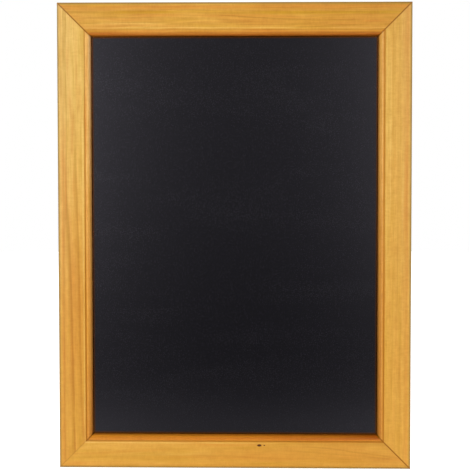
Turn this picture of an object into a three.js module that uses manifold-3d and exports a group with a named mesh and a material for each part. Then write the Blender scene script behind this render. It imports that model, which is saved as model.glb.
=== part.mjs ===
// Wall chalkboard: a mitred pine frame, moulded with a quirked ovolo, round a matt black writing panel.
// Millimetres, +Z up. The board faces -Y, and the wall behind it is the plane y = 0.
// The origin lies on the wall, midway between the two hooks that carry the hanger rings.

import * as THREE from "three";
import { mergeVertices } from "three/addons/utils/BufferGeometryUtils.js";
import Module from "manifold-3d";

// Board
const boardWidth = 454;
const boardHeight = 600;
const hookDrop = 80; // from the top edge of the frame down to the wall hooks

// Moulding: widths run inwards from the outer edge, depths run backwards from the front face
const mouldingWidth = 42.5;
const mouldingDepth = 18;
const faceArris = 1.2;
const backArris = 0.8;
const beadRadius = 6.1;
const beadShelf = 0.3; // flat between the quirk and the start of the bead's curve
const quirkDepth = 1;
const quirkSlope = 0.6;
const lipDraft = 0.9;
const lipDepth = 11.5;
const rebateWidth = 9;
const mitreGap = 0.15; // each length of moulding stops this far short of the mitre

// Writing panel
const surfaceThickness = 0.8;
const coreThickness = 3;
const glueLine = 0.1;
const panelPlay = 1; // between the panel's edge and the rebate wall, all round

// V-nails that draw the mitres together
const nailThickness = 0.6;
const nailLeg = 6.5;
const nailCurl = 1.2;
const nailLength = 10;
const nailSink = 0.3;
const nailInsets = { outer: 10, inner: 23 }; // from the outer edges of the corner
const nailLegTurn = THREE.MathUtils.degToRad(52);
const nailCurlTurn = THREE.MathUtils.degToRad(20);

// Framing points that hold the panel in its rebate
const pointThickness = 0.4;
const pointWidth = 5;
const pointDrive = 7; // driven into the rebate wall
const pointReach = 8; // left over the back of the panel
const pointTip = 3.5;
const stilePointShares = [-0.36, 0, 0.36];
const railPointShares = [-0.28, 0.28];

// Strap hangers on the backs of the stiles
const hangerInset = 17; // from the outer edge to the middle of the strap
const strapThickness = 0.8;
const strapWidth = 12;
const curlOpening = THREE.MathUtils.degToRad(70);
const ringPlay = 0.3;
const screwPitch = 12;

// Hanger ring, bent from round wire
const wireRadius = 1.1;
const ringOpening = 18;
const ringSide = 3;
const ringCorner = 2.4;
const ringSeam = 0.4;

// Hanger screw
const screwHeadRadius = 3;
const screwHeadHeight = 1.7;
const screwHeadRim = 0.6;
const screwRadius = 1.4;
const screwLength = 12;
const screwTip = 3;
const screwHoleRadius = 1.8;
const recessLength = 3.4;
const recessWidth = 0.7;
const recessDepth = 1;

// Wall bumpers on the feet of the stiles
const bumperRadius = 6;
const bumperFaceRadius = 3.8;
const bumperHeight = 5;
const bumperRound = 1.8;
const bumperRise = 56; // from the bottom edge of the frame to the middle of the bumper

// Clearances
const seatGap = 0.2; // between a piece and the face that it is pressed on
const driveGap = 0.3; // round metal driven into wood
const swingGap = 0.5; // between the swinging ring and the nearest screw head
const overrun = 1; // how far a cutter passes out of what it cuts

// Mesh settings
const mergeTolerance = 0.001;
const mouldingSegments = 5;
const curlSegments = 10;
const wireSegments = 6;
const ringSteps = 60;
const roundSides = 24;
const domeSteps = 4;

const quarterTurn = Math.PI / 2;
const eighthTurn = Math.PI / 4;
const halfWidth = boardWidth / 2;
const halfHeight = boardHeight / 2;
const standoff = bumperHeight + seatGap; // from the wall to the back of the frame
const rebateEdge = mouldingWidth - rebateWidth;
const surfaceFront = lipDepth + seatGap;
const coreFront = surfaceFront + surfaceThickness + glueLine;
const pointFront = coreFront + coreThickness + seatGap;

// The ring hangs from its straight bar, and the bar's centre line is the pivot.
const eyeRadius = wireRadius + ringPlay;
const pivotStandoff = seatGap + strapThickness + eyeRadius;
const cornerBend = ringCorner + wireRadius;
const ringHalf = ringOpening / 2 + wireRadius;
const ringReach = cornerBend + ringSide + ringHalf;
const hookReach = ringReach - wireRadius; // from the pivot to the hook, with the ring turned up
const upperScrewDrop = ringReach + wireRadius + swingGap + screwHeadRadius;
const screwDrops = { upper: upperScrewDrop, lower: upperScrewDrop + screwPitch };
const strapDrop = screwDrops.lower + strapWidth / 2;
const pivotHeight = halfHeight - hookDrop - hookReach; // above the middle of the board
const screwSeat = seatGap + strapThickness + seatGap;

const wasm = await Module();
wasm.setup();

// A solid for cutting: vertices merged, and the collapsed triangles of poles and seams left out.
function solidFrom(geometry) {
  const bare = geometry.clone();
  bare.deleteAttribute("normal");
  bare.deleteAttribute("uv");
  const merged = mergeVertices(bare, mergeTolerance);
  const index = merged.index.array;
  const corners = [];
  for (let i = 0; i < index.length; i += 3) {
    const [a, b, c] = [index[i], index[i + 1], index[i + 2]];
    if (a !== b && b !== c && c !== a) {
      corners.push(a, b, c);
    }
  }
  const vertProperties = merged.attributes.position.array;
  const mesh = new wasm.Mesh({ numProp: 3, vertProperties, triVerts: new Uint32Array(corners) });
  return new wasm.Manifold(mesh);
}

function geometryFrom(solid) {
  const mesh = solid.getMesh();
  const indexed = new THREE.BufferGeometry();
  indexed.setAttribute("position", new THREE.BufferAttribute(mesh.vertProperties, mesh.numProp));
  indexed.setIndex(new THREE.BufferAttribute(mesh.triVerts, 1));
  const faceted = indexed.toNonIndexed();
  faceted.computeVertexNormals();
  return faceted;
}

function cutAway(geometry, cutters) {
  const solid = cutters.reduce((rest, cutter) => rest.subtract(solidFrom(cutter)), solidFrom(geometry));
  return geometryFrom(solid);
}

function extrude(shape, depth, curveSegments) {
  return new THREE.ExtrudeGeometry(shape, { depth, curveSegments, steps: 1, bevelEnabled: false });
}

function finish(color, roughness, metalness) {
  return () => new THREE.MeshStandardMaterial({ color, roughness, metalness });
}

const lacqueredPine = finish(0xd9a04e, 0.4, 0);
const blackLaminate = finish(0x2b2a2d, 0.9, 0);
const hardboard = finish(0x6a4a30, 0.8, 0);
const bluedSteel = finish(0x4c5058, 0.45, 0.9);
const zincPlate = finish(0xb8bcc0, 0.35, 0.9);
const nickelPlate = finish(0xc9c6bf, 0.22, 1);
const clearRubber = finish(0xb9b6ae, 0.6, 0);

function piece(name, geometry, material) {
  const mesh = new THREE.Mesh(geometry, material);
  mesh.name = name;
  return mesh;
}

// The section of the moulding: x is the width in from the outer edge, y the depth behind the front.
function mouldingSection() {
  const beadEnd = mouldingWidth - lipDraft;
  const beadStart = beadEnd - beadRadius;
  const quirkFoot = beadStart - beadShelf;
  const backEdge = mouldingDepth - backArris;
  const section = new THREE.Shape();
  section.moveTo(faceArris, 0);
  section.lineTo(quirkFoot - quirkSlope, 0);
  section.lineTo(quirkFoot, quirkDepth);
  section.lineTo(beadStart, quirkDepth);
  section.absarc(beadStart, quirkDepth + beadRadius, beadRadius, -quarterTurn, 0, false);
  section.lineTo(mouldingWidth, lipDepth);
  section.lineTo(rebateEdge, lipDepth);
  section.lineTo(rebateEdge, mouldingDepth);
  section.lineTo(backArris, mouldingDepth);
  section.absarc(backArris, backEdge, backArris, quarterTurn, Math.PI, false);
  section.lineTo(0, faceArris);
  section.absarc(faceArris, faceArris, faceArris, Math.PI, Math.PI + quarterTurn, false);
  return section;
}

// A length of moulding along X with both ends mitred: outer edge at z = 0, front at y = 0, -Z inwards.
function mitredMoulding(length) {
  const geometry = extrude(mouldingSection(), 1, mouldingSegments);
  const position = geometry.attributes.position;
  for (let i = 0; i < position.count; i += 1) {
    const width = position.getX(i);
    const end = 2 * position.getZ(i) - 1;
    position.setXYZ(i, end * (length / 2 - width - mitreGap), position.getY(i), -width);
  }
  return geometry;
}

// The outline of a strip of even thickness that follows a line of points.
function stripAlong(points, thickness) {
  const left = [];
  const right = [];
  points.forEach((point, i) => {
    const arriving = point.clone().sub(points[Math.max(i - 1, 0)]).normalize();
    const leaving = points[Math.min(i + 1, points.length - 1)].clone().sub(point).normalize();
    const along = arriving.clone().add(leaving).normalize();
    const stretch = Math.max(along.dot(arriving), along.dot(leaving));
    const across = new THREE.Vector2(-along.y, along.x).multiplyScalar(thickness / 2 / stretch);
    left.push(point.clone().add(across));
    right.push(point.clone().sub(across));
  });
  return new THREE.Shape([...left, ...right.reverse()]);
}

function ray(turn, length) {
  return new THREE.Vector2(Math.sin(turn), -Math.cos(turn)).multiplyScalar(length);
}

// A V-nail standing along -Y from y = 0, its point towards +Z and its two legs open towards -Z.
function vNail(gap, height) {
  const knee = ray(nailLegTurn, nailLeg);
  const tip = knee.clone().add(ray(nailCurlTurn, nailCurl + gap));
  const mirrored = (point) => new THREE.Vector2(-point.x, point.y);
  const line = [tip, knee, new THREE.Vector2(), mirrored(knee), mirrored(tip)];
  return extrude(stripAlong(line, nailThickness + 2 * gap), height).rotateX(quarterTurn);
}

// Turns a V-nail, or the slot for it, onto the mitre at one end of a length of moulding.
function onMitre(geometry, length, end, inset, depth) {
  geometry.translate(0, depth, -inset * Math.SQRT2);
  return geometry.rotateY(end * eighthTurn).translate((end * length) / 2, 0, 0);
}

function nailSlots(length) {
  const height = nailLength + nailSink + driveGap + overrun;
  const depth = mouldingDepth + overrun;
  const slots = [];
  for (const inset of Object.values(nailInsets)) {
    slots.push(onMitre(vNail(driveGap, height), length, -1, inset, depth));
    slots.push(onMitre(vNail(driveGap, height), length, 1, inset, depth));
  }
  return slots;
}

// A framing point lies flat behind the panel, with its tip in the rebate wall.
function framingPoint() {
  const half = pointWidth / 2;
  const outline = new THREE.Shape();
  outline.moveTo(-half, -pointReach);
  outline.lineTo(half, -pointReach);
  outline.lineTo(half, pointDrive - pointTip);
  outline.lineTo(0, pointDrive);
  outline.lineTo(-half, pointDrive - pointTip);
  return extrude(outline, pointThickness).rotateX(quarterTurn).translate(0, pointThickness, -rebateEdge);
}

function pointSlots(places) {
  const drive = pointDrive + driveGap + overrun;
  const slot = new THREE.BoxGeometry(pointWidth + 2 * driveGap, pointThickness + 2 * driveGap, drive);
  slot.translate(0, pointFront + pointThickness / 2, drive / 2 - overrun - rebateEdge);
  return places.map((place) => slot.clone().translate(place, 0, 0));
}

// The screw stands along Y with the underside of its head at y = 0.
function hangerScrew() {
  const profile = [
    new THREE.Vector2(0, -screwLength),
    new THREE.Vector2(screwRadius, screwTip - screwLength),
    new THREE.Vector2(screwRadius, 0),
    new THREE.Vector2(screwHeadRadius, 0),
  ];
  for (let step = 0; step <= domeSteps; step += 1) {
    const rise = (quarterTurn * step) / domeSteps;
    const height = screwHeadRim + (screwHeadHeight - screwHeadRim) * Math.sin(rise);
    profile.push(new THREE.Vector2(step === domeSteps ? 0 : screwHeadRadius * Math.cos(rise), height));
  }
  const depth = recessDepth + overrun;
  const recess = new THREE.BoxGeometry(recessLength, depth, recessWidth);
  recess.translate(0, screwHeadHeight - recessDepth + depth / 2, 0);
  const crossRecess = [recess, recess.clone().rotateY(quarterTurn)];
  return cutAway(new THREE.LatheGeometry(profile, roundSides), crossRecess);
}

// The hole that the buried part of the screw needs in the wood, open at y = 0.
function pilotHole() {
  const radius = screwRadius + driveGap;
  const buried = screwLength - screwSeat;
  const profile = [
    new THREE.Vector2(0, -buried - driveGap),
    new THREE.Vector2(radius, screwTip - buried),
    new THREE.Vector2(radius, overrun),
    new THREE.Vector2(0, overrun),
  ];
  return new THREE.LatheGeometry(profile, roundSides);
}

// The strap hangs from z = 0, the ring's pivot, and its back is at y = 0. A curl at its top holds the ring.
function hangerStrap() {
  const outer = eyeRadius + strapThickness;
  const curlEnd = curlOpening - Math.PI;
  const section = new THREE.Shape();
  section.moveTo(0, -strapDrop);
  section.lineTo(0, 0);
  section.absarc(outer, 0, outer, Math.PI, curlEnd, true);
  section.absarc(outer, 0, eyeRadius, curlEnd, Math.PI, false);
  section.lineTo(strapThickness, -strapDrop);
  const rolled = extrude(section, strapWidth, curlSegments).translate(0, 0, -strapWidth / 2);
  rolled.rotateX(quarterTurn).rotateZ(quarterTurn);
  const half = strapWidth / 2;
  const plan = new THREE.Shape();
  plan.moveTo(half, outer + overrun);
  plan.lineTo(-half, outer + overrun);
  plan.lineTo(-half, half - strapDrop);
  plan.absarc(0, half - strapDrop, half, Math.PI, 2 * Math.PI, false);
  const blank = extrude(plan, 2 * outer + 2 * overrun, curlSegments);
  blank.rotateX(quarterTurn).translate(0, 2 * outer + overrun, 0);
  const trimmed = geometryFrom(solidFrom(rolled).intersect(solidFrom(blank)));
  const deep = strapThickness + 2 * overrun;
  const hole = new THREE.CylinderGeometry(screwHoleRadius, screwHoleRadius, deep, roundSides);
  hole.translate(0, strapThickness / 2, 0);
  return cutAway(trimmed, Object.values(screwDrops).map((drop) => hole.clone().translate(0, 0, -drop)));
}

// A flat path lifted into the XZ plane, for wire to follow.
class WirePath extends THREE.Curve {
  constructor(path) {
    super();
    this.path = path;
  }

  getPoint(share) {
    const point = this.path.getPoint(share);
    return new THREE.Vector3(point.x, 0, point.y);
  }
}

// The ring hangs from its bar, which lies on the X axis, with the butt of the wire at the bar's middle.
function hangerRing() {
  const shoulder = cornerBend + ringSide;
  const path = new THREE.Path();
  path.moveTo(ringSeam / 2, 0);
  path.absarc(ringHalf - cornerBend, -cornerBend, cornerBend, quarterTurn, 0, true);
  path.absarc(0, -shoulder, ringHalf, 0, -Math.PI, true);
  path.absarc(cornerBend - ringHalf, -cornerBend, cornerBend, Math.PI, quarterTurn, true);
  path.lineTo(-ringSeam / 2, 0);
  const section = new THREE.Shape().absarc(0, 0, wireRadius, 0, 2 * Math.PI, false);
  const settings = { steps: ringSteps, curveSegments: wireSegments, extrudePath: new WirePath(path) };
  return new THREE.ExtrudeGeometry(section, settings);
}

function wallBumper() {
  const profile = [new THREE.Vector2(0, 0), new THREE.Vector2(bumperRadius, 0)];
  for (let step = 0; step <= domeSteps; step += 1) {
    const rise = (quarterTurn * step) / domeSteps;
    const radius = bumperFaceRadius + (bumperRadius - bumperFaceRadius) * Math.cos(rise);
    profile.push(new THREE.Vector2(radius, bumperHeight - bumperRound * (1 - Math.sin(rise))));
  }
  profile.push(new THREE.Vector2(0, bumperHeight));
  return new THREE.LatheGeometry(profile, roundSides);
}

const board = new THREE.Group();
board.position.set(0, -standoff - mouldingDepth, hookDrop - halfHeight);

// Each side of the frame is laid out lengthwise in a group of its own, turned to its place. Its far end
// is the one that comes next going clockwise round the front.
function addSide(name, length, reach, turn, corner, pointShares, screwPlaces) {
  const side = new THREE.Group();
  side.rotation.y = turn;
  side.position.set(Math.sin(turn) * reach, 0, Math.cos(turn) * reach);
  const places = pointShares.map((share) => share * length);
  const pilots = screwPlaces.map((place) => pilotHole().translate(place, mouldingDepth, -hangerInset));
  const cutters = [...nailSlots(length), ...pointSlots(places), ...pilots];
  side.add(piece(name, cutAway(mitredMoulding(length), cutters), lacqueredPine()));
  for (const [place, inset] of Object.entries(nailInsets)) {
    const nail = onMitre(vNail(0, nailLength), length, 1, inset, mouldingDepth - nailSink);
    side.add(piece(`v_nail_${corner}_${place}`, nail, bluedSteel()));
  }
  places.forEach((place, i) => {
    const point = piece(`framing_point_${name}_${i + 1}`, framingPoint(), zincPlate());
    point.position.set(place, pointFront, 0);
    side.add(point);
  });
  board.add(side);
}

function addPanel() {
  const width = boardWidth - 2 * (rebateEdge + panelPlay);
  const height = boardHeight - 2 * (rebateEdge + panelPlay);
  const layers = [
    ["writing_surface", surfaceFront, surfaceThickness, blackLaminate],
    ["core_board", coreFront, coreThickness, hardboard],
  ];
  for (const [name, front, thickness, material] of layers) {
    const layer = piece(name, new THREE.BoxGeometry(width, thickness, height), material());
    layer.position.set(0, front + thickness / 2, seatGap - panelPlay);
    board.add(layer);
  }
}

function addHanger(name, x) {
  const strap = piece(`${name}_strap`, hangerStrap(), zincPlate());
  strap.position.set(x, mouldingDepth + seatGap, pivotHeight);
  board.add(strap);
  const ring = piece(`${name}_ring`, hangerRing(), nickelPlate());
  ring.position.set(x, mouldingDepth + pivotStandoff, pivotHeight);
  board.add(ring);
  for (const [place, drop] of Object.entries(screwDrops)) {
    const screw = piece(`${name}_screw_${place}`, hangerScrew(), zincPlate());
    screw.position.set(x, mouldingDepth + screwSeat, pivotHeight - drop);
    board.add(screw);
  }
}

function addBumper(name, x) {
  const bumper = piece(name, wallBumper(), clearRubber());
  bumper.position.set(x, mouldingDepth + seatGap, bumperRise - halfHeight);
  board.add(bumper);
}

// The left stile's length runs upwards, and the right stile's runs downwards.
const screwsUp = Object.values(screwDrops).map((drop) => pivotHeight - drop);
const screwsDown = screwsUp.map((height) => -height);
addSide("top_rail", boardWidth, halfHeight, 0, "top_right", railPointShares, []);
addSide("right_stile", boardHeight, halfWidth, quarterTurn, "bottom_right", stilePointShares, screwsDown);
addSide("bottom_rail", boardWidth, halfHeight, 2 * quarterTurn, "bottom_left", railPointShares, []);
addSide("left_stile", boardHeight, halfWidth, -quarterTurn, "top_left", stilePointShares, screwsUp);
addPanel();
addHanger("left", hangerInset - halfWidth);
addHanger("right", halfWidth - hangerInset);
addBumper("left_bumper", hangerInset - halfWidth);
addBumper("right_bumper", halfWidth - hangerInset);

export default board;
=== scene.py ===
import math
import bmesh
import bpy
from mathutils import Matrix, Vector


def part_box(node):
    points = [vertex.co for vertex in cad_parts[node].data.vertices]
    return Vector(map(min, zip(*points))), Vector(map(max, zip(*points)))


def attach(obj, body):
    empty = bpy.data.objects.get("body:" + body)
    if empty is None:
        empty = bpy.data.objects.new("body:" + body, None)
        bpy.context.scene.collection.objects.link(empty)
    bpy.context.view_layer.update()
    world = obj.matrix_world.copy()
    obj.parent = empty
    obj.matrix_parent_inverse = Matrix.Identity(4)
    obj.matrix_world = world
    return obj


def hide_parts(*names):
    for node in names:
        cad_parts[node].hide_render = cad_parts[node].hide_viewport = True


# The looks of the wall chalkboard: a mitred pine frame in satin lacquer round a matt black writing
# surface, with its hangers and bumpers on the back. Metres, +Z up, the board facing -Y.

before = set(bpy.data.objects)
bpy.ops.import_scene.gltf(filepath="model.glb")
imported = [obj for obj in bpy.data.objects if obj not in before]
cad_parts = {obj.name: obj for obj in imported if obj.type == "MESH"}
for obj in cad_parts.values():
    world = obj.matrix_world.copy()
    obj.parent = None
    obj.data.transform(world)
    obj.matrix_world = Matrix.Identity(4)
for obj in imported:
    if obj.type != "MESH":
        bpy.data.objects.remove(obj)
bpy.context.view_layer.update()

MM = 0.001
QUARTER = math.pi / 2
FULL_TURN = 2 * math.pi
WHITE = (1, 1, 1, 1)

# Where the board is, read from the frame
LEFT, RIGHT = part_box("left_stile")[0].x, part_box("right_stile")[1].x
FOOT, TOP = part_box("bottom_rail")[0].z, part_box("top_rail")[1].z
FRONT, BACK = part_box("top_rail")[0].y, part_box("top_rail")[1].y
MIDDLE = Vector(((LEFT + RIGHT) / 2, FRONT, (TOP + FOOT) / 2))
WIDTH, HEIGHT = RIGHT - LEFT, TOP - FOOT

# Moulding, in millimetres as in its section: widths in from the outer edge, depths from the face
MOULDING_WIDTH = 42.5
MOULDING_DEPTH = 18
FACE_ARRIS = 1.2
BACK_ARRIS = 0.8
BEAD_RADIUS = 6.1
BEAD_SHELF = 0.3
QUIRK_DEPTH = 1
QUIRK_SLOPE = 0.6
LIP_DRAFT = 0.9
LIP_DEPTH = 11.5
REBATE_WIDTH = 9
BEAD_END = MOULDING_WIDTH - LIP_DRAFT
BEAD_START = BEAD_END - BEAD_RADIUS
QUIRK_FOOT = BEAD_START - BEAD_SHELF
REBATE = MOULDING_WIDTH - REBATE_WIDTH
SHARP_ANGLE = math.radians(32)

# Fastenings, in millimetres
NAIL = {"Thickness": 0.6, "Leg": 6.5, "Curl": 1.2, "Height": 10, "Bend": 0.4}
NAIL_SINK = 0.3
NAIL_INSETS = (10, 23)
DRIVE_GAP = 0.3
POINT_FRONT = 15.8
POINT_SHARES = {"rail": (-0.28, 0.28), "stile": (-0.36, 0, 0.36)}
POINT_SLOT = (5.6, 1.0, 8.6)
POINT_SLOT_MIDDLE = (0, 0.2, 3.2)
HANGER_INSET = 17
STRAP_THICKNESS = 0.8
STRAP_WIDTH = 12
STRAP_EASE = 0.14
EYE_RADIUS = 1.4
CURL_OPENING = math.radians(70)
RING_BAR_RADIUS = 1.1
SCREW_HOLE = 1.8
SCREW_SEAT = 1.2
PILOT_HOLE = 1.7
PILOT_DEPTH = 11.1
BUMPER_RISE = 56
# How far every cutter runs on behind the face that it cuts
CUT_PAST = 1
# Each screw was left at a turn of its own, in radians
FIRST_SCREW_TURN, SCREW_TURN_STEP = 0.2, 0.35


# Node trees are written as sums of values

def step(operation, *fixed):
    """A method of a value that places one Math node."""
    return lambda self, *others: self.math(operation, *others, *fixed)


class Value:
    """One output of a node. Arithmetic on it places Math nodes in its tree."""

    def __init__(self, socket):
        self.socket = socket
        self.tree = socket.id_data

    def into(self, kind, inputs=None, output=0, **settings):
        """Places a node that takes this value first, and returns one of its outputs."""
        return put(self.tree, kind, {0: self, **(inputs or {})}, output, **settings)

    def math(self, operation, *others):
        return self.into("ShaderNodeMath", dict(enumerate(others, 1)), operation=operation)

    def __rsub__(self, other):
        return put(self.tree, "ShaderNodeMath", {0: other, 1: self}, operation="SUBTRACT")

    def clamped(self):
        """Tells the Math node behind the value to keep it between nought and one."""
        self.socket.node.use_clamp = True
        return self

    __add__, __sub__ = step("ADD"), step("SUBTRACT")
    __mul__, __truediv__ = step("MULTIPLY"), step("DIVIDE")
    __neg__, __abs__ = step("MULTIPLY", -1), step("ABSOLUTE")


def fill(node, inputs):
    """Joins values to a node's inputs and sets plain ones, by the sockets' names or numbers."""
    for key, value in inputs.items():
        if isinstance(value, Value):
            node.id_data.links.new(value.socket, node.inputs[key])
        else:
            node.inputs[key].default_value = value


def put(tree, kind, inputs=None, output=0, **settings):
    """Adds a node, sets it up, fills its inputs, and returns one of its outputs."""
    node = tree.nodes.new(kind)
    for name, setting in settings.items():
        setattr(node, name, setting)
    fill(node, inputs or {})
    return Value(node.outputs[output])


def ramp(value, low, high, to_low=0.0, to_high=1.0, kind="SMOOTHSTEP"):
    """Carries a value from one range to another, with soft ends."""
    inputs = {"From Min": low, "From Max": high, "To Min": to_low, "To Max": to_high}
    return value.into("ShaderNodeMapRange", inputs, interpolation_type=kind)


def falling(value, low, high, top=1.0):
    """Goes from its top at the low end to nought at the high end."""
    return ramp(value, low, high, top, 0.0)


def vector(*places):
    """A vector of values and plain numbers; those left out are nought."""
    tree = next(place.tree for place in places if isinstance(place, Value))
    return put(tree, "ShaderNodeCombineXYZ", dict(enumerate(places)))


def parts(place):
    """The X, Y and Z of a vector."""
    node = place.into("ShaderNodeSeparateXYZ").socket.node
    return [Value(socket) for socket in node.outputs]


def mixed(share, first, second, blend="MIX"):
    """Mixes two colours by a share, none brighter than full white."""
    return share.into("ShaderNodeMix", {6: first, 7: second}, 2, data_type="RGBA", blend_type=blend,
                      clamp_factor=True, clamp_result=True)


def noise(place, *sizes):
    """Noise of a scale, detail, roughness and distortion; the last ones may be left out."""
    sizes = dict(zip(("Scale", "Detail", "Roughness", "Distortion"), sizes))
    return place.into("ShaderNodeTexNoise", sizes, "Fac", noise_dimensions="3D")


def mapped(place, scale, turn=(0, 0, 0)):
    """A place turned and scaled, to draw a pattern out one way."""
    return place.into("ShaderNodeMapping", {"Rotation": turn, "Scale": scale})


def own_place(tree):
    return put(tree, "ShaderNodeTexCoord", output="Object")


def outputs_of(node):
    return {socket.name: Value(socket) for socket in node.outputs if socket.name}


KIND_BY_SIZE = {1: "Float", 3: "Vector", 4: "Color"}


def new_group(name, inputs, outputs, kind="ShaderNodeTree"):
    """Starts a node group; inputs give each socket's start or its kind, outputs their kinds."""
    group = bpy.data.node_groups.new(name, kind)

    def socket(label, way, socket_kind):
        return group.interface.new_socket(label, in_out=way, socket_type="NodeSocket" + socket_kind)

    for label, start in inputs.items():
        if isinstance(start, str):
            socket(label, "INPUT", start)
        else:
            size = len(start) if isinstance(start, tuple) else 1
            socket(label, "INPUT", KIND_BY_SIZE[size]).default_value = start
    for label, output_kind in outputs.items():
        socket(label, "OUTPUT", output_kind)
    return group, outputs_of(group.nodes.new("NodeGroupInput")), group.nodes.new("NodeGroupOutput")


def use_group(tree, group, inputs):
    """Places a node group in a tree and returns its outputs by name."""
    node = tree.nodes.new(group.bl_idname.replace("NodeTree", "NodeGroup"))
    node.node_tree = group
    fill(node, inputs)
    return outputs_of(node)


def empty_material(name):
    material = bpy.data.materials.new(name)
    material.use_nodes = True
    material.node_tree.nodes.clear()
    return material, material.node_tree


def new_material(name, color=None, roughness=0.5, metallic=0.0):
    """A material of one shader, with its plain values set on the shader's own sockets."""
    material, tree = empty_material(name)
    shader = tree.nodes.new("ShaderNodeBsdfPrincipled")
    fill(shader, {"Roughness": roughness, "Metallic": metallic})
    if color:
        fill(shader, {"Base Color": (*color, 1)})
    fill(tree.nodes.new("ShaderNodeOutputMaterial"), {"Surface": Value(shader.outputs[0])})
    return material, tree, shader


def relief(shader, height, distance, strength):
    """Feeds a height, in shares of a distance in metres, to the shader's normal."""
    inputs = {"Height": height, "Distance": distance, "Strength": strength}
    fill(shader, {"Normal": put(height.tree, "ShaderNodeBump", inputs)})


# Pine in satin lacquer

# What the grain, a streak and a knot of a length are given by, in order; sizes in millimetres
# The last two of the grain, the bead and lip tints, are painted light and shade.
GRAIN = ("Seed", "Ring Spacing", "Pith Across", "Rings", "Streaks", "Figure", "Drift", "Bead Painted Shading", "Lip Painted Light")
STREAK = {"Line": 0, "Width": 0.6, "Strength": 0.5, "From": -50, "To": 900, "Fade": 40}
KNOT = {"Centre Along": 1, "Centre Across": 1, "Half Length": 1, "Half Width": 1}


def growth_line():
    """One line of dense late wood: sharp on its outer side, fading off on its inner side."""
    starts = {"Along": 0, "Across": 0, **STREAK}
    group, ins, out = new_group("growth_line", starts, {"Mask": "Float"})
    off = (ins["Across"] - ins["Line"]) / ins["Width"]
    body = ramp(off, -0.55, 0.0) * falling(off, 0.1, 1.6)
    start = ((ins["Along"] - ins["From"]) / ins["Fade"]).clamped()
    stop = ((ins["To"] - ins["Along"]) / ins["Fade"]).clamped()
    fill(out, {"Mask": body * (start * stop) * ins["Strength"]})
    return group


def pin_knot():
    """A small dark oval where a twig was, with a ragged edge."""
    starts = {"Along": 0, "Across": 0, **KNOT}
    group, ins, out = new_group("pin_knot", starts, {"Mask": "Float"})
    run = (ins["Along"] - ins["Centre Along"]) / ins["Half Length"]
    rise = (ins["Across"] - ins["Centre Across"]) / ins["Half Width"]
    ragged = noise(vector(ins["Along"], ins["Across"]), 1.3) - 0.5
    reach = (run * run + rise * rise).math("SQRT") + ragged * 0.7
    fill(out, {"Mask": falling(reach, 0.65, 1.15)})
    return group


# Colours of the lacquered pine, as linear red, green and blue. The arris, quirk and shade colours are
# painted shade, not colours of the wood
PINE = {
    "early": (0.687, 0.342, 0.04, 1), "late": (0.66, 0.5, 0.16, 1),
    "line": (0.7, 0.58, 0.16, 1), "amber": (0.672, 0.274, 0.03, 1),
    "olive": (0.607, 0.312, 0.014, 1), "pale": (0.825, 0.545, 0.148, 1),
    "pore": (0.3, 0.115, 0.008, 1), "knot": (0.08, 0.012, 0.001, 1),
    "joint": (0.33, 0.115, 0, 1), "arris_shade": (0.3, 0.18, 0.03, 1),
    "quirk": (0.44, 0.15, 0, 1), "shade": (0.58, 0.34, 0.17, 1),
    "sawn_early": (0.74, 0.52, 0.27, 1), "sawn_late": (0.5, 0.29, 0.11, 1),
}
PLANER_PITCH = 1.9
# Where the lacquer gives way to sawn wood, in millimetres short of the back
BARE_FROM, BARE_TO = 0.9, 0.2
# Noise drawn out along the grain: millimetres along and across, step of the seed, detail, roughness
FIGURES = {
    "sway": (190, 34, 3.7, 2, 0.5),
    "broad": (62, 2.3, 1.9, 3, 0.6),
    "fine": (26, 0.9, 2.3, 3, 0.6),
    "mottle": (16, 7, 5.1, 2, 0.5),
    "shimmer": (2.6, 8, 6.1, 2, 0.5),
    "drift": (85, 5.5, 4.3, 2, 0.5),
    "fibre": (6, 0.16, 7.7, 2, 0.6),
}


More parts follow.
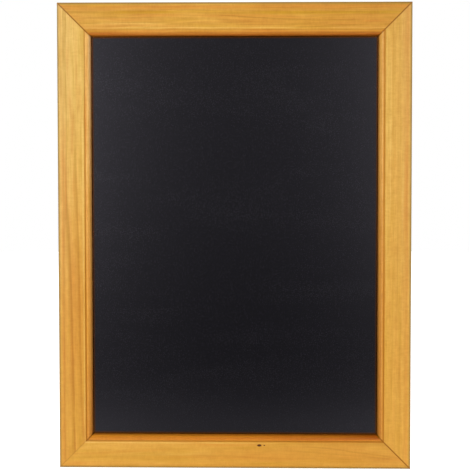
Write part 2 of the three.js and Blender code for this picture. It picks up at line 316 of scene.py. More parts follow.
def pine_grain():
    """The colour, gloss and relief of lacquered pine, from where a point lies on its length, with light and
    shade painted on its bead, lip, quirk and outer arris.
    """
    starts = {"Along": 0, "Across": 0, "Depth": 0, "Seed": 0, "Ring Spacing": 5, "Pith Across": 20,
              "Pith Depth": 90, "Rings": 0.3, "Streaks": 0.5, "Figure": 1, "Drift": 2.8, "Quirk": 0.6,
              "Shade": 0.3, "Tone": 1, "Lines": 0, "Amber": 0, "Olive": 0, "Pale": 0, "Knot": 0, "Joint": 0,
              "Bead Painted Shading": WHITE, "Lip Painted Light": WHITE}
    outputs = {"Color": "Color", "Roughness": "Float", "Height": "Float", "Lacquer": "Float"}
    group, ins, out = new_group("pine_grain", starts, outputs)
    along, across, depth = ins["Along"], ins["Across"], ins["Depth"]

    def figure(name, inward=across):
        long, wide, seed_step, detail, roughness = FIGURES[name]
        place = vector(along / long + ins["Seed"] * seed_step, inward / wide, depth / wide)
        return noise(place, 1, detail, roughness) - 0.5

    sway = figure("sway")
    swayed = across + sway * 9
    fine, mottle, shimmer = figure("fine"), figure("mottle"), figure("shimmer")
    drift = figure("drift", swayed) * ins["Drift"]
    fibre = figure("fibre") + 0.5

    # the year rings round the pith, and all that darkens the wood with them
    to_pith = across - ins["Pith Across"]
    down_pith = depth - ins["Pith Depth"]
    radius = (to_pith * to_pith + down_pith * down_pith).math("SQRT") + sway * 16
    phase = (radius / ins["Ring Spacing"]).math("FRACT")
    late = ramp(phase, 0.2, 0.86) * falling(phase, 0.9, 1.0)
    uneven = (fine * 0.5 + mottle * 0.5 + shimmer * 0.45) * ins["Figure"]
    streaks = figure("broad", swayed) * ins["Streaks"]
    dark = (late * ins["Rings"] + streaks + uneven + 0.22).clamped()
    pores = falling(fibre, 0.30, 0.38)

    # masks of the bead, its lip, the quirk and the outer arris, where light and shade are painted into the
    # colour
    # the bead's tint is painted light and shade: lighter on the left stile, darker on the other lengths
    on_bead = ramp(across, QUIRK_FOOT, QUIRK_FOOT + 1.2)
    in_shade = ramp(across, QUIRK_FOOT + 1.0, QUIRK_FOOT + 4.0)
    # the lip's tint is painted light: it lightens the steep wall of the lip towards the board, and reddens
    # it on the top rail
    on_lip = on_bead * ramp(depth, 1.3, 4.8)
    # painted shade in the quirk groove: a dark line, set per rail and along each length
    in_quirk_shade = falling(abs(across - (QUIRK_FOOT - 0.2)), 0.7, 1.6)
    # painted shade on the rounded outer arris: a darker band along the outer edge
    on_arris_shade = falling(across, 1.0, 3.4, 0.8) * falling(depth, 1.5, 3)

    color = mixed(ins["Pale"], PINE["early"], PINE["pale"])
    for share, tint, *blend in (
            ((drift * 1).clamped(), "amber"), ((drift * -1).clamped(), "olive"), (ins["Amber"], "amber"),
            (ins["Olive"], "olive"), (dark, "late", "MULTIPLY"), (ins["Lines"], "line", "MULTIPLY"),
            (pores * 0.3, "pore"), (on_bead, ins["Bead Painted Shading"], "MULTIPLY"),
            (in_shade * ins["Shade"], "shade", "MULTIPLY"), (on_lip, ins["Lip Painted Light"], "MULTIPLY"),
            (in_quirk_shade * ins["Quirk"], "quirk"), (on_arris_shade, "arris_shade"), (ins["Knot"], "knot"),
            (ins["Joint"], "joint")):
        color = mixed(share, color, PINE.get(tint, tint), *blend)
    toned = color.into("ShaderNodeVectorMath", {"Scale": ins["Tone"]}, operation="SCALE")
    bare = ramp(depth, MOULDING_DEPTH - BARE_FROM, MOULDING_DEPTH - BARE_TO)
    sawn = mixed((dark * 1.2 + pores * 0.2).clamped(), PINE["sawn_early"], PINE["sawn_late"])

    planed = (along * (FULL_TURN / PLANER_PITCH)).math("SINE")
    sawn_height = planed * 0.12 + fibre * 1.2
    fill(out, {
        "Color": mixed(bare, toned, sawn),
        "Roughness": fine * 0.12 + bare * 0.35 + 0.40,
        "Height": fine * 0.5 + fibre * 0.35 + dark * -0.3 + bare * sawn_height,
        "Lacquer": 1.0 - bare.math("MAXIMUM", ins["Knot"])})
    return group


GROWTH_LINE = growth_line()
PIN_KNOT = pin_knot()
PINE_GRAIN = pine_grain()
# How far the growth lines wander to the side, and over what length
WANDER, WANDER_LENGTH = 1.6, 46
LACQUER_GLOSS = {"Specular IOR Level": 0.18, "Coat Roughness": 0.3}
LACQUER_COAT = 0.1


def curve_along(along, length, points, top=1):
    """A value along a length: a plain number, a pair for its two ends, or a smooth curve through
    {millimetres along: value}."""
    if isinstance(points, (int, float)):
        return points
    if isinstance(points, tuple):
        points = dict(zip((0, length), points))
    node = along.tree.nodes.new("ShaderNodeFloatCurve")
    fill(node, {"Value": along / length})
    curve = node.mapping.curves[0]
    places = [(place / length, value / top) for place, value in points.items()]
    curve.points[0].location = places[0]
    curve.points[1].location = places[-1]
    for place in places[1:-1]:
        curve.points.new(*place)
    node.mapping.update()
    return Value(node.outputs[0]) * top


def joint_line(across, from_end, on_face, on_bead):
    """The dark line of glue at a mitre, stronger or wider on the bead."""
    from_mitre = from_end - across
    at_bead = ramp(across, QUIRK_FOOT - 1.5, QUIRK_FOOT - 0.6)
    bead_line = at_bead * falling(from_mitre, 0.6, 1.7, on_bead)
    return falling(from_mitre, 0.7, 1.5, on_face).math("MAXIMUM", bead_line)


def pine(name, corner, along_axis, across_axis, length, wood):
    """One length's own pine, with its growth lines, streaks, knots and joint lines where they lie."""
    material, tree, shader = new_material(name)
    from_corner = own_place(tree).into("ShaderNodeVectorMath", {1: corner}, operation="SUBTRACT")

    def run(axis):
        scaled = [n / MM for n in axis]
        return from_corner.into("ShaderNodeVectorMath", {1: scaled}, "Value", operation="DOT_PRODUCT")

    along, across, depth = run(along_axis), run(across_axis), run((0, 1, 0))
    inputs = {"Along": along, "Across": across, "Depth": depth, **dict(zip(GRAIN, wood["grain"]))}
    wander = noise(vector(along / WANDER_LENGTH, inputs["Seed"]), 1, 3)
    wandered = across + (wander - 0.5) * WANDER
    for kind, key in {"Quirk": "quirk", "Shade": "shade", "Pale": "paleness"}.items():
        inputs[kind] = curve_along(along, length, wood[key])
    inputs["Tone"] = curve_along(along, length, wood["tone"], 1.2)
    for kind in ("Lines", "Amber", "Olive", "Pale"):
        for streak in wood[kind.lower()]:
            sizes = {**dict(zip(STREAK, streak)), "Along": along, "Across": wandered}
            sizes["Line"] = curve_along(along, length, sizes["Line"], MOULDING_WIDTH)
            mask = use_group(tree, GROWTH_LINE, sizes)["Mask"]
            inputs[kind] = (inputs[kind] + mask).clamped() if kind in inputs else mask
    for knot in wood.get("knots", ()):
        sizes = {**dict(zip(KNOT, knot)), "Along": along, "Across": across}
        mask = use_group(tree, PIN_KNOT, sizes)["Mask"]
        inputs["Knot"] = inputs["Knot"].math("MAXIMUM", mask) if "Knot" in inputs else mask
    start, end = (joint_line(across, from_end, *strengths)
                  for from_end, strengths in zip((along, length - along), wood["joints"]))
    grain = use_group(tree, PINE_GRAIN, {**inputs, "Joint": start.math("MAXIMUM", end)})
    fill(shader, {"Base Color": grain["Color"], "Roughness": grain["Roughness"],
                  "Coat Weight": grain["Lacquer"] * LACQUER_COAT, **LACQUER_GLOSS})
    relief(shader, grain["Height"], 0.03 * MM, 0.5)
    return material


# The figure of each length, in millimetres. A streak is (where it lies in from the outer edge, width,
# strength), and may end with (from, to, fade) along the length. Joints are (on face, on bead) for each end.
# Each length also carries painted light and shade: the bead and lip tints that end its grain, and its quirk
# and shade curves.
WOODS = {}
WOODS["top_rail"] = {
    "grain": (2, 4.6, 8, 0.12, 1.1, 1, 2.6, (0.98, 0.86, 0.74, 1), (1.08, 0.92, 0.95, 1)),
    "quirk": 0.15,
    "shade": (0.5, 0.65),
    "tone": {0: 0.98, 80: 1.01, 300: 0.995, 454: 0.93},
    "paleness": {0: 0.12, 150: 0.2, 300: 0.08, 454: 0.02},
    "joints": ((1, 0.9), (1, 1.5)),
    "lines": [
        ({0: 16, 165: 13, 200: 15, 255: 19.3, 330: 22, 454: 22}, 1.4, 0.5, 175, 350, 40),
        ({0: 20, 100: 19, 170: 19.5, 454: 21}, 1.1, 0.4, -50, 210, 50),
        ((22, 22.3), 1.3, 0.5, 340, 396, 18), ((25, 26.5), -2.4, 0.4, 200, 268, 25),
        ({0: 28, 150: 25, 230: 27.5, 300: 28.5, 454: 29.5}, 1.1, 0.3),
        ({0: 12, 140: 9.4, 250: 10.4, 454: 9.6}, 0.9, 0.35), ((31, 31.5), 0.9, 0.35, 300, 450, 30)],
    "amber": [
        ({0: 4.5, 160: 5.2, 280: 5, 454: 4.6}, 3.2, 0.75), (15.5, 2, 0.6, 80, 165, 25),
        ((16, 17), 2, 0.55, 165, 315, 40), (15.8, 1, 0.65, 320, 450, 30),
        ((23.5, 23.8), 1.8, 0.7, 384, 424, 14), (22, 12, 0.3, 260, 900, 100)],
    "olive": [
        (11.4, 3, 0.8, 55, 165, 30), ((12.4, 12.8), 3.2, 0.8, 245, 450, 30), (12, 2.6, 0.35),
        (3.6, 2.4, 0.6, 5, 85, 25)],
    "pale": [(26.5, 3.2, 0.3, 30, 150, 40), (32, 1.2, 0.4)],
}
WOODS["bottom_rail"] = {
    "grain": (11, 9, 20, 0.1, 0.32, 0.85, 2.2, (0.94, 0.62, 0.16, 1), (1.4, 1.55, 3.2, 1)),
    "quirk": {0: 0.5, 200: 0.65, 454: 0.8},
    "shade": {0: 0, 150: 0.1, 330: 0.35, 400: 0.7, 454: 1},
    "tone": {0: 0.93, 150: 1.04, 300: 1.02, 400: 0.96, 430: 0.91, 454: 0.9},
    "paleness": {0: 0.26, 110: 0.22, 200: 0.12, 454: 0.12},
    "joints": ((0.3, 1.2), (1, 2)),
    "knots": [(259.1, 29.7, 3.2, 1.6), (265.5, 29.8, 1.1, 0.8)],
    "lines": [
        ({0: 30, 330: 27, 390: 20, 454: 12}, 1.4, 0.35, 310, 450, 30),
        ({0: 30, 300: 22, 360: 18, 454: 10}, 1.8, 0.25, 290, 450, 30),
        # the lines at 33 and 33.9 from 250 mm on are painted shade, widening the quirk's shadow towards the
        # right end
        ({0: 10, 150: 16, 300: 12, 454: 14}, 2.2, 0.16), (33, -4, 0.4, 300, 900, 60),
        (33.9, 0.9, 0.5, 250, 900, 80)],
    "amber": [(2.6, 3, 0.3), (12, 14, 0.3, 190, 900, 60)],
    "olive": [(12, 14, 0.35, -50, 190, 40)],
    "pale": [(32.4, 1.2, 0.38, -50, 290, 80), ({0: 14, 160: 17, 454: 16}, 4, 0.25, 60, 200, 40)],
}
WOODS["left_stile"] = {
    "grain": (23, 7, 24, 0.1, 0.6, 1, 2.4, (1.12, 1.02, 1.1, 1), (1.2, 1.3, 2, 1)),
    "quirk": {0: 0.45, 150: 0.45, 330: 0.7, 600: 0.75},
    "shade": {0: 0, 300: 0.05, 480: 0.2, 600: 0.7},
    "tone": {0: 0.99, 200: 0.99, 330: 0.98, 450: 0.935, 600: 0.905},
    "paleness": {0: 1, 100: 0.95, 190: 0.6, 260: 0.44, 320: 0.32, 420: 0.08, 600: 0.06},
    "joints": ((1, 0.9), (0.3, 1.2)),
    "lines": [
        ({0: 11.3, 150: 11.4, 240: 11.4, 300: 14.2, 360: 16.2, 480: 18.5, 600: 20.2},
         -3.2, 0.62, 225, 900, 60),
        ({0: 11.3, 75: 10.8, 150: 11.7, 240: 11.2, 600: 12}, -1.8, 0.45, -40, 300, 60),
        ({0: 18, 144: 22.2, 264: 24.2, 300: 25.8, 360: 27, 480: 28.8, 600: 31.5}, -2.9, 0.55, 100, 610, 120),
        ({0: 7.6, 200: 7, 450: 6.6, 600: 7}, 1.6, 0.35)],
    "amber": [
        ({0: 6, 300: 5.6, 600: 5.2}, 3, 0.55, 120, 900, 80),
        ({0: 8.5, 240: 9.4, 600: 11}, 2.2, 0.6, 190, 300, 40), (18, 15, 0.5, 230, 560, 120)],
    "olive": [(4, 2.4, 0.45, -50, 200, 80)],
    # the pale streak at 37.4 lies on the bead: a painted highlight along its upper part
    "pale": [((31, 33), 1.8, 0.45), (37.4, 2.4, 0.5, -50, 260, 60)],
}
WOODS["right_stile"] = {
    "grain": (37, 3.4, 60, 0.08, 0.42, 1.2, 1.4, (0.99, 0.86, 0.8, 1), (1.15, 1.28, 1.8, 1)),
    "quirk": {0: 0.65, 300: 0.65, 450: 0.8, 600: 0.7},
    "shade": {0: 0, 200: 0.2, 400: 0.35, 600: 0.5},
    "tone": {0: 0.97, 200: 1, 400: 0.97, 600: 0.95},
    "paleness": {0: 0.35, 160: 0.37, 300: 0.25, 600: 0.12},
    "joints": ((1, 1.5), (1, 2)),
    "lines": [
        ({0: 18, 300: 17, 600: 20}, 1, 0.2, 100, 420, 80), ({0: 24, 300: 23, 600: 25}, 0.9, 0.2),
        ((14.5, 14), 3, 0.2, 350, 900, 60)],
    "amber": [({0: 4.5, 300: 5.2, 600: 5}, 3.6, 0.45), (6.3, 3, 0.35, 165, 315, 40)],
    "olive": [(14, 2.6, 0.15)],
    "pale": [
        ({0: 10.6, 600: 11.2}, 0.8, 0.55, 195, 310, 30),
        ({0: 28.6, 330: 29, 600: 31}, 3.4, 0.22, 20, 400, 80), ((26.2, 27.2), 0.9, 0.5, 40, 280, 40),
        # the pale streak at 37.4 lies on the bead: a painted highlight along its upper half
        ((31.5, 31.8), 1.2, 0.4, -50, 400, 150), (37.4, 2.2, 0.45, -50, 300, 60)],
}
SIDES = {
    # corner that lengths are measured from, along, across, length, turn about Y, reach from the middle
    "top_rail": ((LEFT, FRONT, TOP), (1, 0, 0), (0, 0, -1), WIDTH, 0, HEIGHT / 2),
    "right_stile": ((RIGHT, FRONT, TOP), (0, 0, -1), (-1, 0, 0), HEIGHT, QUARTER, WIDTH / 2),
    "bottom_rail": ((LEFT, FRONT, FOOT), (1, 0, 0), (0, 0, 1), WIDTH, 2 * QUARTER, HEIGHT / 2),
    "left_stile": ((LEFT, FRONT, TOP), (0, 0, -1), (1, 0, 0), HEIGHT, -QUARTER, WIDTH / 2),
}


# The other finishes

COAT = {"black": (0.0010, 0.0008, 0.0016, 1), "dust": (0.5, 0.5, 0.5, 1), "rim": (0.105, 0.031, 0.002, 1)}
COAT_GLOSS = {"Specular Tint": (0.99, 0.945, 1.10, 1), "Specular IOR Level": 0.49}
# Where the painted reflection of the moulding on the coat begins and ends, in metres short of the sight edge
RIM_FROM, RIM_TO = 3.6 * MM, 0.9 * MM


def blackboard_coat():
    """Matt black coating: a fine tooth that takes chalk, the faintest wiped haze, and a warm rim of
    painted reflection and painted shade from the moulding."""
    material, tree, shader = new_material("blackboard", (0.009, 0.009, 0.0105), 0.3)
    place = own_place(tree)
    haze = ramp(noise(mapped(place, (3, 3, 14), (0, 0.5, 0)), 1.4, 4, 0.6, 0.8), 0.42, 0.75)
    x, _, z = parts(place)
    past_side = abs(x - MIDDLE.x) - (WIDTH / 2 - MOULDING_WIDTH * MM)
    past_end = abs(z - MIDDLE.z) - (HEIGHT / 2 - MOULDING_WIDTH * MM)
    # painted reflection and shade at the rim: brown, and metallic so that the sheen takes its colour
    rim = ramp(past_side.math("MAXIMUM", past_end), -RIM_FROM, -RIM_TO)
    pitted = noise(place, 760, 2, 0.6) - 0.5
    fill(shader, {
        "Base Color": mixed(rim, mixed(haze * 0.001, COAT["black"], COAT["dust"]), COAT["rim"]),
        "Metallic": rim, "Roughness": haze * 0.01 + pitted * 0.14 + 0.254, **COAT_GLOSS})
    relief(shader, noise(place, 2600, 2, 0.6), 0.004 * MM, 0.15)
    return material


FIBRE = {"dark": (0.065, 0.03, 0.013, 1), "light": (0.3, 0.17, 0.085, 1),
         "pressed": (0.05, 0.022, 0.01, 1)}
SCREEN_PITCH = 1.5 * MM


def hardboard():
    """Pressed wood fibre, with the print of the wire screen on its back."""
    material, tree, shader = new_material("hardboard", (0.16, 0.085, 0.04), 0.8)
    place = own_place(tree)
    x, _, z = parts(place)
    waves = FULL_TURN / SCREEN_PITCH
    screen = (x * waves).math("SINE") * (z * waves).math("SINE")
    flecks = noise(mapped(place, (1, 1, 0.35)), 900, 3, 0.7)
    cloud = noise(place, 26, 3, 0.6)
    color = mixed((flecks * 0.75 + cloud * 0.5 - 0.2).clamped(), FIBRE["dark"], FIBRE["light"])
    fill(shader, {"Base Color": mixed(ramp(screen, -1, 1, 0.0, 0.22), color, FIBRE["pressed"])})
    relief(shader, screen * 0.5 + flecks * 0.8, 0.12 * MM, 0.7)
    return material


def plated_metal():
    """Colour, gloss and relief of plated steel: cloudy, with rubbed scratches."""
    inputs = {"Place": (0, 0, 0), "Bright": WHITE, "Dull": WHITE, "Cloud Size": 300, "Gloss": 0.3}
    outputs = {"Color": "Color", "Roughness": "Float", "Height": "Float"}
    group, ins, out = new_group("plated_metal", inputs, outputs)
    cloud = noise(ins["Place"], ins["Cloud Size"], 3, 0.6)
    drawn = mapped(ins["Place"], (1, 1, 9), (0.2, 0.6, 0))
    scratch = ramp(noise(drawn, 1500, 2, 0.6), 0.62, 0.7)
    share = ramp(cloud, 0.3, 0.7)
    fill(out, {
        "Color": mixed(share, ins["Bright"], ins["Dull"]),
        "Roughness": ins["Gloss"] + share * 0.14 + scratch * 0.12,
        "Height": cloud * 0.6 - scratch * 0.5})
    return group


PLATED_METAL = plated_metal()


def metal(name, bright, dull, gloss, cloud_size=300):
    material, tree, shader = new_material(name, bright, gloss, 1.0)
    finish = use_group(tree, PLATED_METAL, {
        "Place": own_place(tree), "Bright": (*bright, 1), "Dull": (*dull, 1), "Cloud Size": cloud_size,
        "Gloss": gloss})
    fill(shader, {"Base Color": finish["Color"], "Roughness": finish["Roughness"]})
    relief(shader, finish["Height"], 0.02 * MM, 0.4)
    return material


def rubber():
    """Greyish moulded rubber with a dusty bloom."""
    material, tree, shader = new_material("bumper_rubber", (0.45, 0.44, 0.41), 0.5)
    bloom = noise(own_place(tree), 420, 3, 0.6)
    fill(shader, {
        "Base Color": mixed(bloom, (0.36, 0.35, 0.33, 1), (0.56, 0.55, 0.52, 1)),
        "Roughness": ramp(bloom, 0.3, 0.7, 0.42, 0.62),
        "Subsurface Weight": 0.15, "Subsurface Scale": 2 * MM})
    relief(shader, bloom, 0.03 * MM, 0.5)
    return material


BLACKBOARD = blackboard_coat()
HARDBOARD = hardboard()
ZINC = metal("zinc_plate", (0.74, 0.75, 0.76), (0.58, 0.59, 0.59), 0.36)
NICKEL = metal("ring_plate", (0.72, 0.69, 0.64), (0.62, 0.59, 0.54), 0.22, 500)
BLUED = metal("nail_steel", (0.16, 0.17, 0.19), (0.10, 0.09, 0.09), 0.36, 700)
RUBBER = rubber()


# Meshes

def mesh_object(name, mesh):
    piece = bpy.data.objects.new(name, mesh)
    bpy.context.scene.collection.objects.link(piece)
    return piece


def built_mesh(name, builder):
    """Ends a mesh builder and keeps what it made."""
    mesh = bpy.data.meshes.new(name)
    builder.to_mesh(mesh)
    builder.free()
    return mesh


def plain_copy(piece, name, material=None):
    """Applies an object's modifiers: a plain mesh object takes its place."""
    bpy.context.view_layer.update()
    mesh = bpy.data.meshes.new_from_object(piece.evaluated_get(bpy.context.evaluated_depsgraph_get()))
    mesh.name = name
    bpy.data.objects.remove(piece)
    if material:
        mesh.materials.clear()
        mesh.materials.append(material)
    return mesh_object(name, mesh)


def seeds(name, places):
    """Bare points that a tree sets its shapes on, each with its turn about Y."""
    mesh = bpy.data.meshes.new(name)
    mesh.from_pydata([place for place, _ in places], [], [])
    turns = mesh.attributes.new("turn", "FLOAT", "POINT")
    for i, (_, turn) in enumerate(places):
        turns.data[i].value = turn
    return mesh


def grown(name, mesh, tree, sizes):
    """Runs a geometry tree on a mesh and keeps the result as a plain mesh object."""
    seed = mesh_object(name + "_seed", mesh)
    modifier = seed.modifiers.new("tree", "NODES")
    modifier.node_group = tree
    sockets = {item.name: item.identifier for item in tree.interface.items_tree if item.in_out == "INPUT"}
    for label, value in sizes.items():
        modifier[sockets[label]] = value
    return plain_copy(seed, name, sizes.get("Material"))


def arc(cx, cy, radius, start, stop, steps):
    """Points on an arc, from one angle in degrees to another."""
    angles = [math.radians(start + (stop - start) * i / steps) for i in range(steps + 1)]
    return [(cx + radius * math.cos(a), cy + radius * math.sin(a)) for a in angles]


def eased(before, corner, after, radius, steps=3):
    """A corner of an outline, eased to a small round."""
    point = Vector(corner)
    back = (Vector(before) - point).normalized()
    on = (Vector(after) - point).normalized()
    half = back.angle(on) / 2
    reach = radius / math.tan(half)
    centre = point + (back + on).normalized() * (radius / math.sin(half))
    first, last = point + back * reach - centre, point + on * reach - centre
    turn = first.angle_signed(last)
    return [tuple(centre + Matrix.Rotation(-turn * i / steps, 2) @ first) for i in range(steps + 1)]


def moulding_section():
    """The outline of the moulding as (width, depth) in millimetres, with every arris eased."""
    foot = (QUIRK_FOOT, QUIRK_DEPTH)
    bead_foot = QUIRK_DEPTH + BEAD_RADIUS
    rebate_top, rebate_foot = (REBATE, LIP_DEPTH), (REBATE, MOULDING_DEPTH)
    outline = arc(FACE_ARRIS, FACE_ARRIS, FACE_ARRIS, 180, 270, 6)
    outline += eased((0, 0), (QUIRK_FOOT - QUIRK_SLOPE, 0), foot, 0.35)
    outline += [foot]
    outline += arc(BEAD_START, bead_foot, BEAD_RADIUS, 270, 360, 18)
    outline += eased((BEAD_END, bead_foot), (MOULDING_WIDTH, LIP_DEPTH), rebate_top, 0.4)
    outline += [rebate_top]
    outline += eased(rebate_top, rebate_foot, (0, MOULDING_DEPTH), 0.3)
    outline += arc(BACK_ARRIS, MOULDING_DEPTH - BACK_ARRIS, BACK_ARRIS, 90, 180, 4)
    return outline


# Steps of the geometry trees

def in_metres(sizes):
    return {name: size * MM for name, size in sizes.items()}


def geometry_tree(name, inputs):
    inputs = {"Geometry": "Geometry", **inputs, "Material": "Material"}
    return new_group(name, inputs, {"Geometry": "Geometry"}, "GeometryNodeTree")


def number_of(tree):
    """The number of each point."""
    return put(tree, "GeometryNodeInputIndex")


def place_of(tree):
    """Where each point is."""
    return put(tree, "GeometryNodeInputPosition")


def moved(shape, turn=(0, 0, 0), by=(0, 0, 0)):
    return shape.into("GeometryNodeTransform", {"Rotation": turn, "Translation": by})


def reshaped(shape, places):
    return shape.into("GeometryNodeSetPosition", {"Position": places})


def cut_away(shape, *cutters):
    for cutter in cutters:
        shape = shape.into("GeometryNodeMeshBoolean", {1: cutter}, operation="DIFFERENCE", solver="EXACT")
    return shape


def merged(shape, distance):
    return shape.into("GeometryNodeMergeByDistance", {"Distance": distance})


def closed_sweep(face, offset):
    """Draws a flat face out along an offset into a closed solid."""
    drawn = face.into("GeometryNodeExtrudeMesh", {"Offset": offset, "Individual": False}, mode="FACES")
    both = face.tree.nodes.new("GeometryNodeJoinGeometry")
    for part in (drawn, face.into("GeometryNodeFlipFaces")):
        fill(both, {0: part})
    return merged(Value(both.outputs[0]), 1e-7)


def corner_line(tree, corners):
    """A line through corners, each a vector or plain numbers."""
    switch = tree.nodes.new("GeometryNodeIndexSwitch")
    switch.data_type = "VECTOR"
    while len(switch.index_switch_items) < len(corners):
        switch.index_switch_items.new()
    fill(switch, dict(enumerate((number_of(tree), *corners))))
    line = put(tree, "GeometryNodeMeshLine", {"Count": len(corners)})
    return reshaped(line, Value(switch.outputs[0])).into("GeometryNodeMeshToCurve")


def bent(line, radius, count):
    """A line with its corners bent round."""
    inputs = {"Radius": radius, "Count": count, "Limit Radius": True}
    return line.into("GeometryNodeFilletCurve", inputs, mode="POLY")


def swept(line, section):
    """A solid of one section along a line."""
    return line.into("GeometryNodeCurveToMesh", {"Profile Curve": section, "Fill Caps": True})


def made_real(shape):
    return shape.into("GeometryNodeRealizeInstances")


def finished(ins, shape, out):
    """The end of every tree: soft faces with crisp edges at sharp turns, real, with the material."""
    angle = put(shape.tree, "GeometryNodeInputMeshEdgeAngle", output="Unsigned Angle")
    soft = angle.into("FunctionNodeCompare", {"B": SHARP_ANGLE}, operation="LESS_THAN")
    shape = shape.into("GeometryNodeSetShadeSmooth", domain="FACE")
    shape = shape.into("GeometryNodeSetShadeSmooth", {"Shade Smooth": soft}, domain="EDGE")
    fill(out, {0: made_real(shape).into("GeometryNodeSetMaterial", {"Material": ins["Material"]})})
    return shape.tree


def finished_copies(ins, shape, out):
    """Copies of a shape on the seed points, each at its own turn."""
    turn = put(shape.tree, "GeometryNodeInputNamedAttribute", {"Name": "turn"}, data_type="FLOAT")
    inputs = {"Instance": shape, "Rotation": vector(0, turn)}
    return finished(ins, made_real(ins["Geometry"].into("GeometryNodeInstanceOnPoints", inputs)), out)


def mitred_length_tree():
    """A flat section at x = -0.5, drawn out to a length, mitred, turned to its side and slotted."""
    tree, ins, out = geometry_tree("mitred_length", {
        "Length": 1, "Turn": 0, "Place": (0, 0, 0), "Slots": "Object"})
    x, y, z = parts(place_of(tree))
    reach = ins["Length"] / 2 + z
    mitred = reshaped(closed_sweep(ins["Geometry"], (1, 0, 0)), vector(x * 2 * reach, y, z))
    turned = moved(mitred, vector(0, ins["Turn"]), ins["Place"])
    slots = ins["Slots"].into("GeometryNodeObjectInfo", output="Geometry")
    return finished(ins, cut_away(turned, slots), out)


def v_nail_tree():
    """A V-nail standing from y = 0 towards -Y, its point towards +Z, with curled legs."""
    tree, ins, out = geometry_tree("v_nail", {
        **in_metres(NAIL), "Leg Turn": math.radians(52), "Curl Turn": math.radians(20)})

    def ray(turn, length):
        return turn.math("SINE") * length, turn.math("COSINE") * -length

    knee = ray(ins["Leg Turn"], ins["Leg"])
    curl = ray(ins["Curl Turn"], ins["Curl"])
    tip = [a + b for a, b in zip(knee, curl)]
    corners = [vector(*tip), vector(*knee), (0, 0, 0), vector(-knee[0], knee[1]), vector(-tip[0], tip[1])]
    sides = {"Width": ins["Thickness"], "Height": ins["Height"]}
    strip = put(tree, "GeometryNodeCurvePrimitiveQuadrilateral", sides)
    solid = swept(bent(corner_line(tree, corners), ins["Bend"], 3), strip)
    return finished_copies(ins, moved(solid, (QUARTER, 0, 0), vector(0, ins["Height"] / -2)), out)


def framing_point_tree():
    """A flat spear of sheet metal: tail towards -Z, tip towards +Z, its front face at y = 0."""
    tree, ins, out = geometry_tree("framing_point", in_metres({
        "Width": 5, "Thickness": 0.4, "Drive": 7, "Reach": 8, "Tip": 3.5, "Tail Round": 0.9}))
    half = ins["Width"] / 2
    tail = -ins["Reach"]
    shoulder = ins["Drive"] - ins["Tip"]
    corners = [vector(-half, tail), vector(half, tail), vector(half, shoulder),
               vector(0, ins["Drive"]), vector(-half, shoulder)]
    outline = corner_line(tree, corners).into("GeometryNodeSetSplineCyclic", {"Cyclic": True})
    tail_round = number_of(tree).math("LESS_THAN", 2) * ins["Tail Round"]
    flat = bent(outline, tail_round, 5).into("GeometryNodeFillCurve", mode="NGONS")
    solid = closed_sweep(flat, vector(0, 0, ins["Thickness"]))
    # the sheet lies in XY: X stays, Y turns up to Z, and the thickness runs back from y = 0
    return finished_copies(ins, moved(solid, (QUARTER, 0, 0), vector(0, ins["Thickness"])), out)


def turned_group():
    """A shape turned on the Y axis: a profile of (radius, height) swept round, threaded if asked."""
    starts = {"Profile": "Geometry", "Sides": "Int", "Thread Depth": 0, "Thread Pitch": 1, "Thread From": 0,
              "Thread To": 0}
    tree, ins, out = new_group("turned", starts, {"Mesh": "Geometry"}, "GeometryNodeTree")
    profile = ins["Profile"]
    size = profile.into("GeometryNodeAttributeDomainSize", output="Point Count", component="CURVE")
    loops = ins["Sides"] + 1
    grid = put(tree, "GeometryNodeMeshGrid", {"Vertices X": size, "Vertices Y": loops})
    index = number_of(tree)
    row = ((index + 0.5) / loops).math("FLOOR")
    share = (index - row * loops) / ins["Sides"]
    sample = {"Value": place_of(tree), "Index": row}
    settings = {"data_type": "FLOAT_VECTOR", "domain": "POINT", "clamp": True}
    radius, height, _ = parts(profile.into("GeometryNodeSampleIndex", sample, **settings))
    turns = height / ins["Thread Pitch"] - share
    wave = ramp(turns.math("PINGPONG", 0.5), 0.12, 0.40, 1.0, 0.0, "LINEAR")
    threaded = height.math("GREATER_THAN", ins["Thread From"]) * height.math("LESS_THAN", ins["Thread To"])
    radius = (radius - wave * ins["Thread Depth"] * threaded).math("MAXIMUM", 0.0)
    angle = share * FULL_TURN
    spot = vector(radius * angle.math("COSINE"), height, radius * angle.math("SINE"))
    fill(out, {0: merged(reshaped(grid, spot), 1e-6)})
    return tree


TURNED = turned_group()
SCREW_SIDES, BUMPER_SIDES, WIRE_SIDES = 28, 48, 22
DOME_STEPS = 7
THREAD_CUTS = 34
# The thread runs from a little above the tip to a little below the head
THREAD_RANGE = (0.6 * MM, -2.2 * MM)


